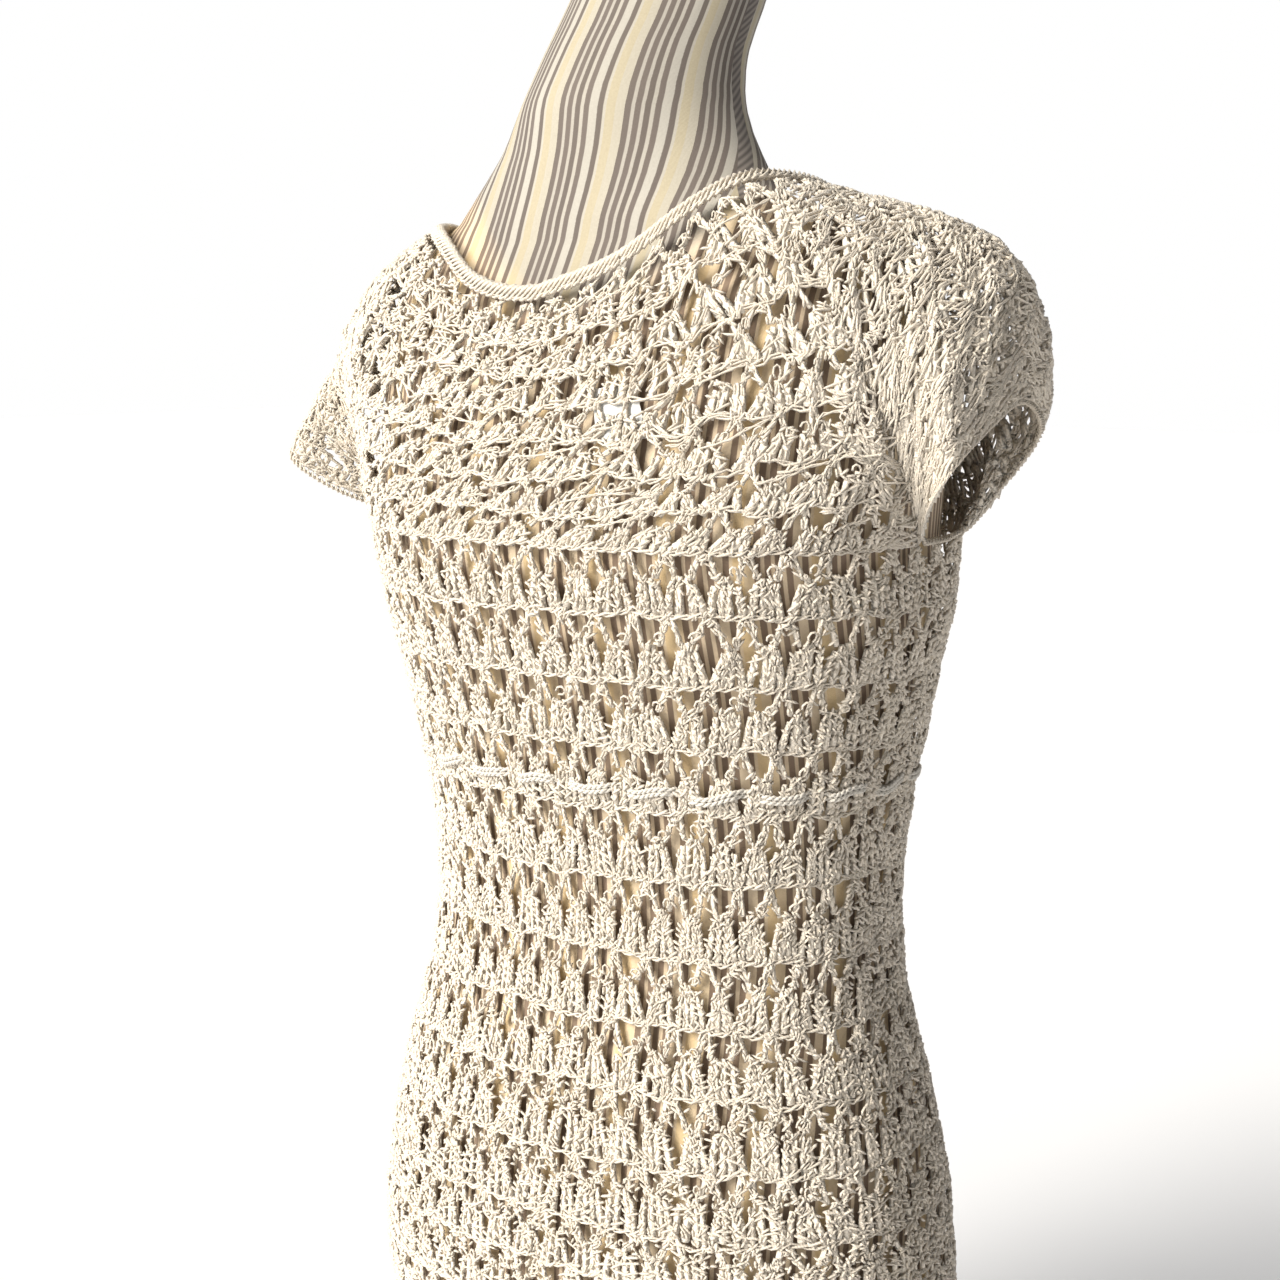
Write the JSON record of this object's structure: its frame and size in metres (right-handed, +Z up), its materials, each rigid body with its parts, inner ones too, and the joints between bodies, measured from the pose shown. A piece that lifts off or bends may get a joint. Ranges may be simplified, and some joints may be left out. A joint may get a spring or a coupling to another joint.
{
  "type": "crochet top on a dress form",
  "caption": "Ecru crochet top with a round yoke, cap sleeves and an empire drawstring, worn by a limbless striped dress form on a short post and a round base.",
  "frame": {"origin": "centre of the base's underside, on the surface that it stands on", "axes": "+Z up along the torso, -Y towards the front of the top, +X towards the wearer's left"},
  "size_m": [0.4548, 0.3, 0.9514],
  "materials": {
    "cotton_yarn": "matte",
    "crocheted_cord": "matte",
    "label_tape": "matte",
    "striped_cotton": "matte",
    "turned_wood": "satin",
    "bare_steel": "satin"
  },
  "bodies": {
    "root": {"yoke": "cotton_yarn", "body_upper": "cotton_yarn", "drawstring_band": "cotton_yarn", "body_lower": "cotton_yarn", "neck_edging": "cotton_yarn", "hem_edging": "cotton_yarn", "sleeve_edging_left": "cotton_yarn", "sleeve_edging_right": "cotton_yarn", "drawstring": "crocheted_cord", "drawstring_knot": "crocheted_cord", "neck_label": "label_tape", "form_body": "striped_cotton", "form_neck_cap": "turned_wood", "stand_post": "bare_steel", "stand_base": "turned_wood"}
  },
  "joints": []
}
